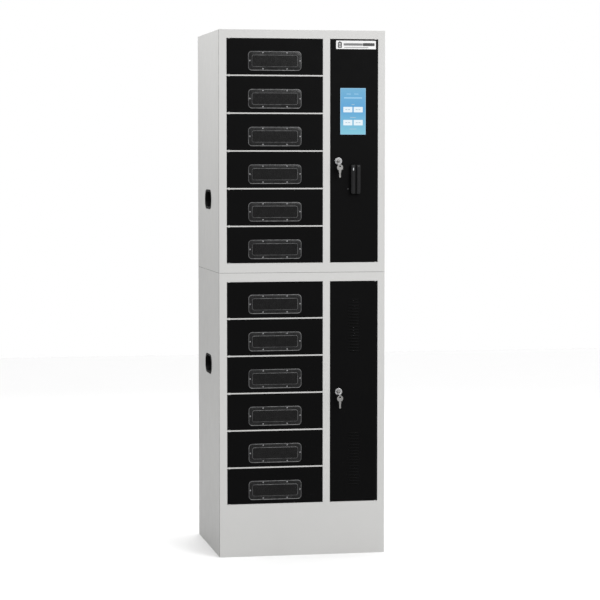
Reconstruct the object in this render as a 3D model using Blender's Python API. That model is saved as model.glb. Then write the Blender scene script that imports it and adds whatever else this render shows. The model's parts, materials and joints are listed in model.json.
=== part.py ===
"""Phone charging kiosk: two stacked sheet-steel cabinets with twelve charging bays.

Metres, +Z up. The front faces -Y, and the origin is the middle of the base, on the floor.
"""

import math
from collections import namedtuple

import bmesh
import bpy
import numpy as np
from mathutils import Matrix, Vector

# Overall size
WIDTH = 0.608
DEPTH = 0.520
HEIGHT = 1.900
SEAM_Z = 1.0295  # the upper cabinet stands on the lower one here
SEAM_GROOVE = 0.001
SHEET = 0.0012
GAP = 0.0003  # left between pieces that touch
LAP = SHEET + GAP
JOIN = 0.0002  # overlap of two shapes that become one
LEFT, RIGHT = -WIDTH / 2, WIDTH / 2
FRONT, BACK = -DEPTH / 2, DEPTH / 2

# Front frame and its openings
FRAME_DEPTH = 0.025
LEFT_STILE = 0.0275
BAY_OPENING = 0.3517
CENTRE_STILE = 0.026
SERVICE_OPENING = 0.1773
BAYS = 6
BAY_CLEAR = 0.1305
LIP = 0.0045
PITCH = BAY_CLEAR + LIP
OPENING_HEIGHT = BAYS * PITCH - LIP
BAY_LEFT = LEFT + LEFT_STILE
BAY_RIGHT = BAY_LEFT + BAY_OPENING
SERVICE_LEFT = BAY_RIGHT + CENTRE_STILE
SERVICE_RIGHT = SERVICE_LEFT + SERVICE_OPENING
LIP_END = 0.022  # solid end of each lip, where the hinge pins turn

# Inside
RACK_FRONT = FRONT + FRAME_DEPTH + GAP
PARTITION_X = 0.086
STRIP_WIDTH = 0.032
STRIP_LEFT = PARTITION_X - GAP - STRIP_WIDTH
LATCH_DEPTH = 0.036
OUTLET_DEPTH = 0.040

# Doors
DOOR_GAP = 0.002
DOOR_DEPTH = 0.018
PIVOT_IN = 0.0085  # hinge axis, from the edge of the opening
PIVOT_BACK = 0.005  # hinge axis, behind the front face
PIN_RADIUS = 0.0025
PIN_HOLE_RADIUS = 0.0032
PIN_REACH = 0.0020  # how far a pin goes into its hole
PIN_ROOT = 0.006
HOLE_DEPTH = 0.006
STRIKER_THICK = 0.003
STRIKER_HALF_HEIGHT = 0.008
STRIKER_REACH = 0.020
STRIKER_SLOT = (0.0085, 0.024, 0.024)  # width, depth, height

# Bay windows
WINDOW_SIZE = (0.194, 0.069)
WINDOW_RADIUS = 0.013
WINDOW_THICK = 0.002
WINDOW_LEFT = 0.1059 + LEFT
WINDOW_ABOVE_FLOOR = 0.0152
PORTHOLE_SIZE = (0.166, 0.041)
PORTHOLE_RADIUS = 0.008

# Service doors
SCREEN_SIZE = (0.0935, 0.1673)
SCREEN_CENTRE = (0.4897 + LEFT, 1.6098)
SCREEN_BODY = (0.107, 0.181)
READER_SIZE = (0.034, 0.104)
READER_CENTRE = (0.4976 + LEFT, 1.3650)
READER_DEPTH = 0.016
READER_SLOT = (0.006, 0.011)  # width, depth
READER_BOSS = (0.026, 0.060)
LOUVRE_X = 0.494 + LEFT
LOUVRE_WIDTH = 0.037
LOUVRE_HEIGHT = 0.0035
LOUVRE_PITCH = 0.011
LOUVRES = 18
LOUVRE_GROUPS = (0.2535, 0.7415)  # the lowest slot of each group

# Locks and keys
FACE_RADIUS = 0.013
BARREL_RADIUS = 0.0094
BARREL_HOLE_RADIUS = 0.0099
BARREL_LENGTH = 0.0245
PLUG_RADIUS = 0.0062
PLUG_BORE_RADIUS = 0.0066
PLUG_LENGTH = 0.026
NUT_RADIUS = 0.013
CAM_LENGTH = 0.040
CAM_THICK = 0.002
BOW_RADIUS = 0.0112
BOW_OUT = 0.018  # middle of the inserted key's bow, in front of the door
KEY_THICK = 0.002
KEY_HOLE_RADIUS = 0.0033
KEY_RIM = 0.0032  # metal between the hole and the outer edge of the bow
KEY_LENGTH = 0.036  # bow's middle to the blade's tip
RING_RADIUS = 0.009
RING_WIRE = 0.0008

# Carrying handles
HANDLE_SIZE = (0.146, 0.071)
HANDLE_Y = 0.259 + FRONT
HANDLE_RADIUS = 0.032
CUP_SIZE = (0.135, 0.061)
CUP_RADIUS = 0.027
CUP_DEPTH = 0.020
CUP_WALL = 0.002

# Power and control
OUTLET_PORT = (0.013, 0.008, 0.0038)  # width, depth, height
PORTS_ABOVE_FLOOR = (0.050, 0.070)
CONTROLLER_BOX = ((0.110, 0.190, 1.620), (0.270, BACK - SHEET - GAP, 1.820))
INLET_CENTRE = (0.190, 0.110)
INLET_PLATE = (0.050, 0.060)
INLET_BODY = (0.028, 0.047)
INLET_SOCKET = (0.024, 0.019)

Cabinet = namedtuple("Cabinet", "name bottom top sill lock handle_z")
LOWER = Cabinet("lower", 0.0, SEAM_Z - SEAM_GROOVE, 0.1912, (0.4374 + LEFT, 0.5942), 0.682)
UPPER = Cabinet("upper", SEAM_Z, HEIGHT, 1.0640, (0.4362 + LEFT, 1.4302), 1.290)

# Colour, roughness, metallic
FINISHES = {
    "grey_coat": ((0.66, 0.66, 0.65), 0.45, 0.0),
    "black_coat": ((0.008, 0.008, 0.009), 0.42, 0.0),
    "inner_steel": ((0.55, 0.56, 0.57), 0.45, 0.8),
    "smoked_acrylic": ((0.02, 0.02, 0.022), 0.12, 0.0),
    "black_plastic": ((0.012, 0.012, 0.013), 0.5, 0.0),
    "screen_glass": ((0.10, 0.35, 0.62), 0.15, 0.0),
    "chrome": ((0.75, 0.75, 0.76), 0.15, 1.0),
    "nickel": ((0.55, 0.54, 0.52), 0.3, 1.0),
}


def clear_scene():
    for thing in list(bpy.data.objects):
        bpy.data.objects.remove(thing)


def finish(name):
    """The material of one finish, made the first time it is asked for."""
    if name in bpy.data.materials:
        return bpy.data.materials[name]
    colour, roughness, metallic = FINISHES[name]
    material = bpy.data.materials.new(name)
    material.use_nodes = True
    shader = material.node_tree.nodes["Principled BSDF"]
    shader.inputs["Base Color"].default_value = (*colour, 1.0)
    shader.inputs["Roughness"].default_value = roughness
    shader.inputs["Metallic"].default_value = metallic
    return material


def mesh_from(bm):
    mesh = bpy.data.meshes.new("shape")
    bm.to_mesh(mesh)
    bm.free()
    return mesh


def cells(blocks, cuts=()):
    """One mesh of axis-aligned blocks less the cuts, each a (low corner, high corner) pair.

    The planes of all their faces make a grid, and the surface lies between full and empty cells.
    """
    boxes = (*blocks, *cuts)
    steps = [sorted({round(corner[k], 7) for box in boxes for corner in box}) for k in range(3)]
    full = np.zeros([len(step) + 1 for step in steps], bool)
    for group, value in ((blocks, True), (cuts, False)):
        for low, high in group:
            spans = []
            for k in range(3):
                first = steps[k].index(round(low[k], 7)) + 1
                last = steps[k].index(round(high[k], 7)) + 1
                spans.append(slice(first, last))
            full[tuple(spans)] = value
    bm = bmesh.new()
    corners = {}
    for axis in range(3):
        change = np.diff(full.astype(int), axis=axis)
        for cell in np.argwhere(change):
            # The cell's plane along axis is its own index; across it, a cell spans two steps.
            quad = []
            for along, up in ((0, 0), (1, 0), (1, 1), (0, 1)):
                key = [0, 0, 0]
                key[axis] = cell[axis]
                key[(axis + 1) % 3] = cell[(axis + 1) % 3] - 1 + along
                key[(axis + 2) % 3] = cell[(axis + 2) % 3] - 1 + up
                key = tuple(key)
                if key not in corners:
                    corners[key] = bm.verts.new([steps[k][key[k]] for k in range(3)])
                quad.append(corners[key])
            outward = change[tuple(cell)] < 0
            bm.faces.new(quad if outward else quad[::-1])
    bmesh.ops.dissolve_limit(bm, angle_limit=0.001, verts=bm.verts, edges=bm.edges)
    return mesh_from(bm)


def circle(centre, radius, segments=16):
    """Points of a regular polygon round the centre, in its own plane."""
    turns = [2 * math.pi * (k + 0.5) / segments for k in range(segments)]
    return [(centre[0] + radius * math.cos(t), centre[1] + radius * math.sin(t)) for t in turns]


def rounded(centre, size, radius, steps=3):
    """Points of a rectangle with rounded corners, in its own plane."""
    points = []
    for corner, (side, rise) in enumerate(((1, 1), (-1, 1), (-1, -1), (1, -1))):
        middle = (
            centre[0] + side * (size[0] / 2 - radius),
            centre[1] + rise * (size[1] / 2 - radius),
        )
        for k in range(steps + 1):
            turn = math.pi / 2 * (corner + k / steps)
            points.append((middle[0] + radius * math.cos(turn), middle[1] + radius * math.sin(turn)))
    return points


def prism(outline, axis, low, high):
    """An outline in the plane across an axis (0, 1 or 2), extruded from low to high along it."""
    across = [k for k in range(3) if k != axis]
    bm = bmesh.new()
    ends = []
    for level in (low, high):
        ring = []
        for point in outline:
            spot = Vector()
            spot[axis] = level
            spot[across[0]], spot[across[1]] = point
            ring.append(bm.verts.new(spot))
        bm.faces.new(ring)
        ends.append(ring)
    for k in range(len(outline)):
        bm.faces.new((ends[0][k - 1], ends[0][k], ends[1][k], ends[1][k - 1]))
    bmesh.ops.recalc_face_normals(bm, faces=bm.faces)
    return mesh_from(bm)


def torus(centre, radius, wire, around=16, sides=6):
    """A closed ring of round wire in the plane across X."""
    bm = bmesh.new()
    rings = []
    for k in range(around):
        turn = 2 * math.pi * k / around
        outward = Vector((0, math.cos(turn), math.sin(turn)))
        ring = []
        for j in range(sides):
            tilt = 2 * math.pi * j / sides
            reach = radius + wire * math.cos(tilt)
            spot = Vector(centre) + outward * reach + Vector((wire * math.sin(tilt), 0, 0))
            ring.append(bm.verts.new(spot))
        rings.append(ring)
    for k in range(around):
        for j in range(sides):
            bm.faces.new((rings[k - 1][j - 1], rings[k][j - 1], rings[k][j], rings[k - 1][j]))
    bmesh.ops.recalc_face_normals(bm, faces=bm.faces)
    return mesh_from(bm)


def together(meshes):
    """Shapes that don't touch, in one mesh."""
    bm = bmesh.new()
    for mesh in meshes:
        bm.from_mesh(mesh)
    return mesh_from(bm)


def add_object(name, mesh):
    thing = bpy.data.objects.new(name, mesh)
    bpy.context.scene.collection.objects.link(thing)
    return thing


def shaped(mesh, *steps):
    """The mesh after Boolean steps, each an (operation, tool mesh) pair."""
    host = add_object("host", mesh)
    tools = []
    for operation, tool_mesh in steps:
        tool = add_object("tool", tool_mesh)
        tool.hide_render = True
        tool.display_type = "WIRE"
        modifier = host.modifiers.new(operation, "BOOLEAN")
        modifier.operation = operation
        modifier.solver = "EXACT"
        modifier.object = tool
        tools.append(tool)
    graph = bpy.context.evaluated_depsgraph_get()
    result = bpy.data.meshes.new_from_object(host.evaluated_get(graph))
    for used in (host, *tools):
        bpy.data.objects.remove(used)
    return result


def piece(name, mesh, finish_name, origin=(0, 0, 0), smooth=False):
    """A named sub-part. Its mesh is given in world space and its origin goes where asked."""
    mesh = mesh.copy()
    mesh.name = name
    mesh.transform(Matrix.Translation(-Vector(origin)))
    mesh.materials.clear()
    mesh.materials.append(finish(finish_name))
    if smooth:
        mesh.shade_smooth()
        mesh.set_sharp_from_angle(angle=math.radians(35))
    thing = add_object(name, mesh)
    thing.location = origin
    return thing


def bay_floor(cabinet, row):
    """Height of a bay's floor, counting rows from the bottom."""
    return cabinet.sill + row * PITCH


def lip_heights(cabinet):
    """Bottom of each lip between two bays."""
    return [bay_floor(cabinet, row) - LIP for row in range(1, BAYS)]


def front_frame(cabinet):
    """Folded face with six bay openings on the left, one tall opening on the right, and lips."""
    low, high = cabinet.bottom, cabinet.top
    rear = FRONT + FRAME_DEPTH
    opening_top = cabinet.sill + OPENING_HEIGHT
    face_back = FRONT + SHEET
    inner = (LEFT + LAP + SHEET, RIGHT - LAP - SHEET)
    floor, ceiling = low + LAP + SHEET, high - LAP - SHEET
    cuts = [
        ((SERVICE_LEFT, FRONT, cabinet.sill), (SERVICE_RIGHT, rear, opening_top)),
        # Rebates where the side, top and base sheets lap in behind the face
        ((LEFT, face_back, low), (LEFT + LAP, rear, high)),
        ((RIGHT - LAP, face_back, low), (RIGHT, rear, high)),
        ((LEFT, face_back, low), (RIGHT, rear, low + LAP)),
        ((LEFT, face_back, high - LAP), (RIGHT, rear, high)),
        # Hollow back of the stiles, the header and the sill
        ((inner[0], face_back, floor), (BAY_LEFT - SHEET, rear, ceiling)),
        ((BAY_RIGHT + SHEET, face_back, floor), (SERVICE_LEFT - SHEET, rear, ceiling)),
        ((SERVICE_RIGHT + SHEET, face_back, floor), (inner[1], rear, ceiling)),
        ((inner[0], face_back, floor), (inner[1], rear, cabinet.sill - LIP)),
        ((inner[0], face_back, opening_top + LIP), (inner[1], rear, ceiling)),
    ]
    for row in range(BAYS):
        bottom = bay_floor(cabinet, row)
        cuts.append(((BAY_LEFT, FRONT, bottom), (BAY_RIGHT, rear, bottom + BAY_CLEAR)))
    for bottom in lip_heights(cabinet):
        hollow = (BAY_LEFT + LIP_END, face_back, bottom + SHEET)
        cuts.append((hollow, (BAY_RIGHT, rear, bottom + LIP - SHEET)))
    mesh = cells([((LEFT, FRONT, low), (RIGHT, rear, high))], cuts)
    pivots = (BAY_LEFT + PIVOT_IN, FRONT + PIVOT_BACK)
    far_pivots = (SERVICE_RIGHT - PIVOT_IN, FRONT + PIVOT_BACK)
    holes = []
    for bottom in lip_heights(cabinet):
        outline = circle(pivots, PIN_HOLE_RADIUS, 12)
        holes.append(prism(outline, 2, bottom - HOLE_DEPTH, bottom + LIP + HOLE_DEPTH))
    for spot in (pivots, far_pivots):
        outline = circle(spot, PIN_HOLE_RADIUS, 12)
        for level in (cabinet.sill, opening_top):
            holes.append(prism(outline, 2, level - HOLE_DEPTH - SHEET, level + HOLE_DEPTH + SHEET))
    return piece(cabinet.name + "_front_frame", shaped(mesh, ("DIFFERENCE", together(holes))), "grey_coat")


def side_panel(cabinet, side):
    """Flat side sheet, side -1 for the left and 1 for the right, cut out for its handle."""
    outer = side * WIDTH / 2
    inner = outer - side * SHEET
    low = (min(outer, inner), FRONT + LAP, cabinet.bottom)
    high = (max(outer, inner), BACK, cabinet.top)
    size = (CUP_SIZE[0] + 0.001, CUP_SIZE[1] + 0.001)
    hole = rounded((HANDLE_Y, cabinet.handle_z), size, CUP_RADIUS + 0.0005, steps=4)
    cut = prism(hole, 0, low[0] - 0.01, high[0] + 0.01)
    word = "left" if side < 0 else "right"
    mesh = shaped(cells([(low, high)]), ("DIFFERENCE", cut))
    return piece(f"{cabinet.name}_{word}_side", mesh, "grey_coat")


def carry_handle(cabinet, side):
    """Moulded cup set into the side sheet, with a flange on the outside."""
    def at(depth):
        """X of a plane this deep inside the side sheet's outer face."""
        return side * (WIDTH / 2 - depth)

    def slab(size, radius, outside, inside):
        outline = rounded((HANDLE_Y, cabinet.handle_z), size, radius, steps=4)
        return prism(outline, 0, min(at(outside), at(inside)), max(at(outside), at(inside)))

    pocket = (CUP_SIZE[0] - 2 * CUP_WALL, CUP_SIZE[1] - 2 * CUP_WALL)
    mesh = shaped(
        slab(CUP_SIZE, CUP_RADIUS, -GAP - 0.0008, CUP_DEPTH),
        ("UNION", slab(HANDLE_SIZE, HANDLE_RADIUS, -0.0020, -GAP)),
        ("DIFFERENCE", slab(pocket, CUP_RADIUS - CUP_WALL, -0.010, CUP_DEPTH - CUP_WALL)),
    )
    word = "left" if side < 0 else "right"
    return piece(f"{cabinet.name}_{word}_handle", mesh, "black_plastic")


def back_panel(cabinet):
    block = ((LEFT + LAP, BACK - SHEET, cabinet.bottom), (RIGHT - LAP, BACK, cabinet.top))
    mesh = cells([block])
    if cabinet is LOWER:
        size = (INLET_BODY[0] + 0.001, INLET_BODY[1] + 0.001)
        hole = prism(rounded(INLET_CENTRE, size, 0.003), 1, BACK - 0.01, BACK + 0.01)
        mesh = shaped(mesh, ("DIFFERENCE", hole))
    return piece(cabinet.name + "_back_panel", mesh, "grey_coat")


def level_sheet(name, bottom):
    """Flat horizontal sheet that closes a cabinet between its other panels."""
    low = (LEFT + LAP, FRONT + LAP, bottom)
    high = (RIGHT - LAP, BACK - LAP, bottom + SHEET)
    return piece(name, cells([(low, high)]), "grey_coat")


def bay_rack(cabinet):
    """Welded partition, bay floors and full-width deck, notched for the latch and outlet strips."""
    rear = BACK - LAP
    ceiling = cabinet.sill + OPENING_HEIGHT
    if cabinet is LOWER:
        deck = SEAM_Z - GAP - SHEET
        partition_bottom, partition_top = LAP, deck
    else:
        deck = SEAM_Z
        partition_bottom, partition_top = deck + SHEET, HEIGHT - LAP
    blocks = [
        ((LEFT + LAP, RACK_FRONT, deck), (RIGHT - LAP, rear, deck + SHEET)),
        ((PARTITION_X, RACK_FRONT, partition_bottom), (PARTITION_X + SHEET, rear, partition_top)),
        ((LEFT + LAP, RACK_FRONT, ceiling), (PARTITION_X, rear, ceiling + SHEET)),
    ]
    for row in range(BAYS):
        level = bay_floor(cabinet, row)
        blocks.append(((LEFT + LAP, RACK_FRONT, level - SHEET), (PARTITION_X, rear, level)))
    notch_left = STRIP_LEFT - GAP
    bottom, top = cabinet.sill - SHEET, ceiling + SHEET
    cuts = [
        ((notch_left, RACK_FRONT, bottom), (PARTITION_X, RACK_FRONT + LATCH_DEPTH + GAP, top)),
        ((notch_left, rear - OUTLET_DEPTH - GAP, bottom), (PARTITION_X, rear, top)),
    ]
    return piece(cabinet.name + "_bay_rack", cells(blocks, cuts), "inner_steel")


def latch_strip(cabinet):
    """Upright case of six electric latches, each with a slot for a door's striker."""
    width, depth, height = STRIKER_SLOT
    front = RACK_FRONT
    middle = BAY_RIGHT - DOOR_GAP - SHEET - STRIKER_THICK / 2
    block = (
        (STRIP_LEFT, front, cabinet.sill - SHEET),
        (STRIP_LEFT + STRIP_WIDTH, front + LATCH_DEPTH, cabinet.sill + OPENING_HEIGHT + SHEET),
    )
    cuts = []
    for row in range(BAYS):
        level = bay_floor(cabinet, row) + BAY_CLEAR / 2
        low = (middle - width / 2, front, level - height / 2)
        cuts.append((low, (middle + width / 2, front + depth, level + height / 2)))
    return piece(cabinet.name + "_latch_strip", cells([block], cuts), "black_plastic")


def outlet_strip(cabinet):
    """Upright charger strip with two sockets facing each bay."""
    width, depth, height = OUTLET_PORT
    rear = BACK - LAP - GAP
    front = rear - OUTLET_DEPTH + GAP
    middle = STRIP_LEFT + STRIP_WIDTH / 2
    block = (
        (STRIP_LEFT, front, cabinet.sill - SHEET),
        (STRIP_LEFT + STRIP_WIDTH, rear, cabinet.sill + OPENING_HEIGHT + SHEET),
    )
    cuts = []
    for row in range(BAYS):
        for above in PORTS_ABOVE_FLOOR:
            level = bay_floor(cabinet, row) + above
            low = (middle - width / 2, front, level - height / 2)
            cuts.append((low, (middle + width / 2, front + depth, level + height / 2)))
    return piece(cabinet.name + "_outlet_strip", cells([block], cuts), "black_plastic")


def controller_box():
    """Moulded case of the electronics, on the back sheet."""
    low, high = CONTROLLER_BOX
    return piece("controller_box", cells([(low, high)]), "black_plastic")


def power_inlet():
    """Mains inlet with a flange outside the back sheet and a socket in it."""
    socket_centre = (INLET_CENTRE[0], INLET_CENTRE[1] - 0.010)
    mesh = shaped(
        prism(rounded(INLET_CENTRE, INLET_BODY, 0.002), 1, BACK - 0.030, BACK + 0.001),
        ("UNION", prism(rounded(INLET_CENTRE, INLET_PLATE, 0.004), 1, BACK + GAP, BACK + 0.003)),
        ("DIFFERENCE", prism(rounded(socket_centre, INLET_SOCKET, 0.003), 1, BACK - 0.014, BACK + 0.01)),
    )
    return piece("power_inlet", mesh, "black_plastic")


def door_pan(low, high, cuts=()):
    """Sheet door with its edges folded back, open behind, less the cuts."""
    pocket_low = (low[0] + SHEET, low[1] + SHEET, low[2] + SHEET)
    pocket_high = (high[0] - SHEET, high[1], high[2] - SHEET)
    return cells([(low, high)], [(pocket_low, pocket_high), *cuts])


def hinge_pins(spot, low, high):
    """Two pins that stand out of a door's top and bottom edges."""
    outline = circle(spot, PIN_RADIUS, 12)
    reach = DOOR_GAP + PIN_REACH
    return together([
        prism(outline, 2, low - reach, low + PIN_ROOT),
        prism(outline, 2, high - PIN_ROOT, high + reach),
    ])


def bay_door_mesh():
    """A bay door above the height 0 of its bay's floor."""
    low = (BAY_LEFT + DOOR_GAP, FRONT, DOOR_GAP)
    high = (BAY_RIGHT - DOOR_GAP, FRONT + DOOR_DEPTH, BAY_CLEAR - DOOR_GAP)
    flange = high[0] - SHEET
    striker = (
        (flange - STRIKER_THICK + JOIN, FRONT + SHEET, BAY_CLEAR / 2 - STRIKER_HALF_HEIGHT),
        (flange + JOIN, high[1] + STRIKER_REACH, BAY_CLEAR / 2 + STRIKER_HALF_HEIGHT),
    )
    middle = (WINDOW_LEFT + WINDOW_SIZE[0] / 2, WINDOW_ABOVE_FLOOR + WINDOW_SIZE[1] / 2)
    porthole = prism(rounded(middle, PORTHOLE_SIZE, PORTHOLE_RADIUS), 1, FRONT - 0.01, FRONT + 0.01)
    pins = hinge_pins((BAY_LEFT + PIVOT_IN, FRONT + PIVOT_BACK), low[2], high[2])
    return shaped(
        door_pan(low, high),
        ("DIFFERENCE", porthole),
        ("UNION", pins),
        ("UNION", cells([striker])),
    )


def bay_window_mesh():
    """Clear plate over a bay door's porthole."""
    middle = (WINDOW_LEFT + WINDOW_SIZE[0] / 2, WINDOW_ABOVE_FLOOR + WINDOW_SIZE[1] / 2)
    outline = rounded(middle, WINDOW_SIZE, WINDOW_RADIUS, steps=5)
    return prism(outline, 1, FRONT - GAP - WINDOW_THICK, FRONT - GAP)


def bay_doors(cabinet, first_number):
    """Six doors with their windows, numbered downwards."""
    door_mesh = bay_door_mesh()
    window_mesh = bay_window_mesh()
    for k in range(BAYS):
        level = bay_floor(cabinet, BAYS - 1 - k)
        hinge = (BAY_LEFT + PIVOT_IN, FRONT + PIVOT_BACK, 0)
        door = piece(f"bay_door_{first_number + k:02d}", door_mesh, "black_coat", hinge)
        door.location.z = level
        window = piece(f"bay_window_{first_number + k:02d}", window_mesh, "smoked_acrylic", hinge)
        window.parent = door
        window.location = (0, 0, 0)


def service_hinge(cabinet):
    return (SERVICE_RIGHT - PIVOT_IN, FRONT + PIVOT_BACK, cabinet.sill)


def service_door(cabinet):
    """Tall door on the right. The upper one holds the screen and reader, the lower one vents."""
    low = (SERVICE_LEFT + DOOR_GAP, FRONT, cabinet.sill + DOOR_GAP)
    high = (
        SERVICE_RIGHT - DOOR_GAP,
        FRONT + DOOR_DEPTH,
        cabinet.sill + OPENING_HEIGHT - DOOR_GAP,
    )
    hinge = service_hinge(cabinet)
    cuts = []
    if cabinet is UPPER:
        cuts.append(face_cut(SCREEN_CENTRE, (SCREEN_SIZE[0] + 0.0006, SCREEN_SIZE[1] + 0.0006)))
        cuts.append(face_cut(READER_CENTRE, (READER_BOSS[0] + 0.001, READER_BOSS[1] + 0.001)))
    else:
        for start in LOUVRE_GROUPS:
            for k in range(LOUVRES):
                centre = (LOUVRE_X, start + k * LOUVRE_PITCH)
                cuts.append(face_cut(centre, (LOUVRE_WIDTH, LOUVRE_HEIGHT)))
    lock_hole = prism(circle(cabinet.lock, BARREL_HOLE_RADIUS), 1, FRONT - 0.01, FRONT + 0.01)
    mesh = shaped(
        door_pan(low, high, cuts),
        ("DIFFERENCE", lock_hole),
        ("UNION", hinge_pins(hinge[:2], low[2], high[2])),
    )
    return piece(cabinet.name + "_service_door", mesh, "black_coat", hinge)


def face_cut(centre, size):
    """Block that cuts a rectangular hole through a door's face."""
    low = (centre[0] - size[0] / 2, FRONT, centre[1] - size[1] / 2)
    return low, (centre[0] + size[0] / 2, FRONT + SHEET, centre[1] + size[1] / 2)


def touchscreen():
    """Display module behind the door's face, with its glass in the cut-out."""
    def plate(size, front, rear):
        low = (SCREEN_CENTRE[0] - size[0] / 2, front, SCREEN_CENTRE[1] - size[1] / 2)
        return low, (SCREEN_CENTRE[0] + size[0] / 2, rear, SCREEN_CENTRE[1] + size[1] / 2)

    shoulder = FRONT + LAP
    blocks = [
        plate(SCREEN_SIZE, FRONT + GAP, shoulder),
        plate(SCREEN_BODY, shoulder, shoulder + 0.022),
    ]
    return piece("touchscreen", cells(blocks), "screen_glass", service_hinge(UPPER))


def card_reader():
    """Swipe reader on the door's face, with an upright slot open at both ends."""
    front = FRONT - READER_DEPTH
    groove_low = (READER_CENTRE[0] - READER_SLOT[0] / 2, front - 0.01, READER_CENTRE[1] - 0.1)
    groove_high = (READER_CENTRE[0] + READER_SLOT[0] / 2, front + READER_SLOT[1], READER_CENTRE[1] + 0.1)
    mesh = shaped(
        prism(rounded(READER_CENTRE, READER_SIZE, 0.004), 1, front, FRONT - GAP),
        ("UNION", prism(rounded(READER_CENTRE, READER_BOSS, 0.001, 1), 1, FRONT - 0.002, FRONT + 0.012)),
        ("DIFFERENCE", cells([(groove_low, groove_high)])),
    )
    return piece("card_reader", mesh, "black_plastic", service_hinge(UPPER))


def key_outline():
    """Outline of a key: bow's middle at the origin, blade towards minus the second coordinate."""
    neck, blade = 0.004, 0.003
    start = -math.acos(neck / BOW_RADIUS)
    end = math.pi - start
    points = [(blade - 0.0015, -KEY_LENGTH), (blade, -KEY_LENGTH + 0.0015), (blade, -0.019), (neck, -0.018)]
    steps = 16
    for k in range(steps + 1):
        turn = start + (end - start) * k / steps
        points.append((BOW_RADIUS * math.cos(turn), BOW_RADIUS * math.sin(turn)))
    points += [(-u, v) for u, v in reversed(points[:4])]
    return points


def key_mesh(place):
    """A key as a flat plate with a hole in its bow; place maps an outline point to (axis, points)."""
    hole_middle = BOW_RADIUS - KEY_RIM - KEY_HOLE_RADIUS
    body, hole = place(key_outline()), place(circle((0, hole_middle), KEY_HOLE_RADIUS, 12))
    axis, middle = body[0], body[2]
    plate = prism(body[1], axis, middle - KEY_THICK / 2, middle + KEY_THICK / 2)
    return shaped(plate, ("DIFFERENCE", prism(hole[1], axis, middle - 0.01, middle + 0.01)))


def ring_centre(cabinet):
    """Middle of the key ring, which hangs over the rim of the inserted key's bow."""
    x, z = cabinet.lock
    rim_y = FRONT - BOW_OUT - BOW_RADIUS + KEY_RIM / 2
    top = z + KEY_THICK / 2 + GAP + RING_WIRE
    return Vector((x, rim_y, top - RING_RADIUS))


def lock(cabinet):
    """Cam lock: housing in the door, plug with its key, cam behind, key ring and spare key."""
    x, z = cabinet.lock
    hinge = (x, FRONT, z)
    door_hinge = service_hinge(cabinet)
    back_face = FRONT + LAP
    housing = shaped(
        prism(circle(cabinet.lock, BARREL_RADIUS), 1, FRONT - 0.002, FRONT + BARREL_LENGTH),
        ("UNION", prism(circle(cabinet.lock, FACE_RADIUS, 24), 1, FRONT - 0.0025, FRONT - GAP)),
        ("UNION", prism(circle(cabinet.lock, NUT_RADIUS, 6), 1, back_face, back_face + 0.004)),
        ("DIFFERENCE", prism(circle(cabinet.lock, PLUG_BORE_RADIUS), 1, FRONT - 0.05, FRONT + 0.05)),
    )
    piece(cabinet.name + "_lock_housing", housing, "chrome", door_hinge, smooth=True)

    def inserted(points):
        return 2, [(x + u, FRONT - BOW_OUT - v) for u, v in points], z

    plug_end = FRONT + PLUG_LENGTH
    plug = shaped(
        prism(circle(cabinet.lock, PLUG_RADIUS), 1, FRONT - 0.0035, plug_end),
        ("UNION", key_mesh(inserted)),
    )
    piece(cabinet.name + "_lock_plug", plug, "nickel", hinge, smooth=True)

    half = 0.008
    turns = [math.pi * k / 8 for k in range(9)]
    tail = [(x + half * math.cos(t), z + half * math.sin(t)) for t in turns]
    tail += [(x - 0.006, z - CAM_LENGTH), (x + 0.006, z - CAM_LENGTH)]
    cam_front = plug_end + GAP
    cam = shaped(
        prism(tail, 1, cam_front, cam_front + CAM_THICK),
        ("UNION", prism(circle(cabinet.lock, 0.004, 6), 1, cam_front + 0.001, cam_front + 0.0045)),
    )
    piece(cabinet.name + "_lock_cam", cam, "nickel", hinge)

    ring = ring_centre(cabinet)
    piece(cabinet.name + "_key_ring", torus(ring, RING_RADIUS, RING_WIRE), "chrome", hinge, smooth=True)

    swing = (x, ring.y, ring.z - RING_RADIUS)
    hole_top = swing[2] + RING_WIRE + GAP
    bow_z = hole_top - (BOW_RADIUS - KEY_RIM)

    def hanging(points):
        return 1, [(x + u, bow_z + v) for u, v in points], ring.y

    piece(cabinet.name + "_spare_key", key_mesh(hanging), "nickel", swing)


def main():
    clear_scene()
    level_sheet("base_pan", 0.0)
    level_sheet("upper_top_panel", HEIGHT - SHEET)
    for cabinet in (LOWER, UPPER):
        front_frame(cabinet)
        back_panel(cabinet)
        bay_rack(cabinet)
        latch_strip(cabinet)
        outlet_strip(cabinet)
        for side in (-1, 1):
            side_panel(cabinet, side)
            carry_handle(cabinet, side)
        service_door(cabinet)
        lock(cabinet)
    bay_doors(UPPER, 1)
    bay_doors(LOWER, BAYS + 1)
    touchscreen()
    card_reader()
    controller_box()
    power_inlet()


main()
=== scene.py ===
"""Looks of the phone charging kiosk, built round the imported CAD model. Metres, +Z up, front -Y."""

import json
import math

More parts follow.
